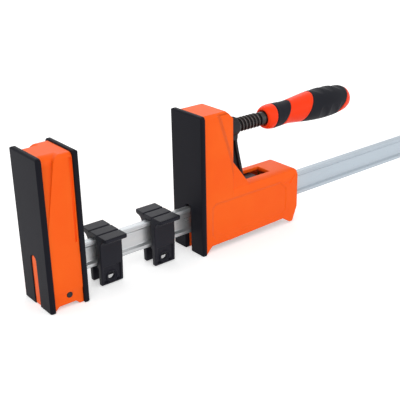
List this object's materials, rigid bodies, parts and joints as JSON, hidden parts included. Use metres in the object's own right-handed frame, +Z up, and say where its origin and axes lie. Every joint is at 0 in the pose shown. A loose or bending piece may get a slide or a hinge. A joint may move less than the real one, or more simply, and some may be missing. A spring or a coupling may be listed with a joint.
{
  "type": "parallel jaw bar clamp",
  "caption": "Parallel-jaw bar clamp: fixed jaw on an I-profile rail, sliding jaw fed by a screw with a soft-grip handle, support clips and an end stop.",
  "frame": {"origin": "middle of the box's underside, on the bench the clamp stands on, under the rail", "axes": "+X along the rail from the fixed jaw to the handle, +Y across the rail, +Z up"},
  "size_m": [0.8278, 0.0546, 0.1638],
  "materials": {
    "galvanised_rail": "zinc-plated, drawn along its length",
    "orange_housing": "glass-filled nylon, satin",
    "black_face": "fine moulded grain",
    "black_clip": "fine moulded grain",
    "dark_steel": "blackened",
    "bright_steel": "zinc-plated",
    "zinc_yellow": "yellow zinc-plated spring steel",
    "cast_arm": "black powder coat over a casting",
    "black_screw": "black oxide, oiled",
    "handle_orange": "satin polypropylene",
    "soft_grip": "matte soft-touch overmould"
  },
  "bodies": {
    "rail_frame": {"rail": "galvanised_rail", "fixed_jaw_housing": "orange_housing", "fixed_jaw_core": "dark_steel", "fixed_jaw_face": "black_face", "fixed_jaw_back_face": "black_face", "rail_rivets": "bright_steel", "fixed_jaw_cross_pin": "dark_steel", "rail_end_stop": "black_clip", "end_stop_screw": "bright_steel"},
    "near_clip": {"near_rail_clip": "black_clip"},
    "far_clip": {"far_rail_clip": "black_clip"},
    "arm": {"sliding_arm": "cast_arm", "arm_grip_pins": "bright_steel", "arm_tilt_spring": "zinc_yellow", "tilt_spring_screw": "bright_steel"},
    "moving_jaw": {"moving_jaw_housing": "orange_housing", "moving_jaw_face": "black_face", "moving_jaw_core": "dark_steel", "thrust_washer": "bright_steel", "jaw_guide_screws": "bright_steel"},
    "screw": {"spindle": "black_screw", "spindle_retaining_ring": "bright_steel", "handle_core": "handle_orange", "handle_front_band": "soft_grip", "handle_rear_grip": "soft_grip"}
  },
  "joints": [
    {"name": "near_clip_slide", "type": "slide", "parent": "rail_frame", "child": "near_clip", "axis": [1, 0, 0], "range_m": [-0.024, 0.02]},
    {"name": "far_clip_slide", "type": "slide", "parent": "rail_frame", "child": "far_clip", "axis": [1, 0, 0], "range_m": [-0.021, 0]},
    {"name": "arm_slide", "type": "slide", "parent": "rail_frame", "child": "arm", "axis": [1, 0, 0], "range_m": [0, 0.461]},
    {"name": "jaw_feed", "type": "slide", "parent": "arm", "child": "moving_jaw", "axis": [-1, 0, 0], "range_m": [0, 0.026]},
    {"name": "screw_turn", "type": "hinge", "parent": "moving_jaw", "child": "screw", "pos_m": [-0.11, 0, 0.1343], "axis": [-1, 0, 0], "range_deg": [0, 1870]}
  ],
  "couplings": [
    {"joint": "jaw_feed", "follows": "screw_turn", "m_per_rad": 0.00079577}
  ]
}
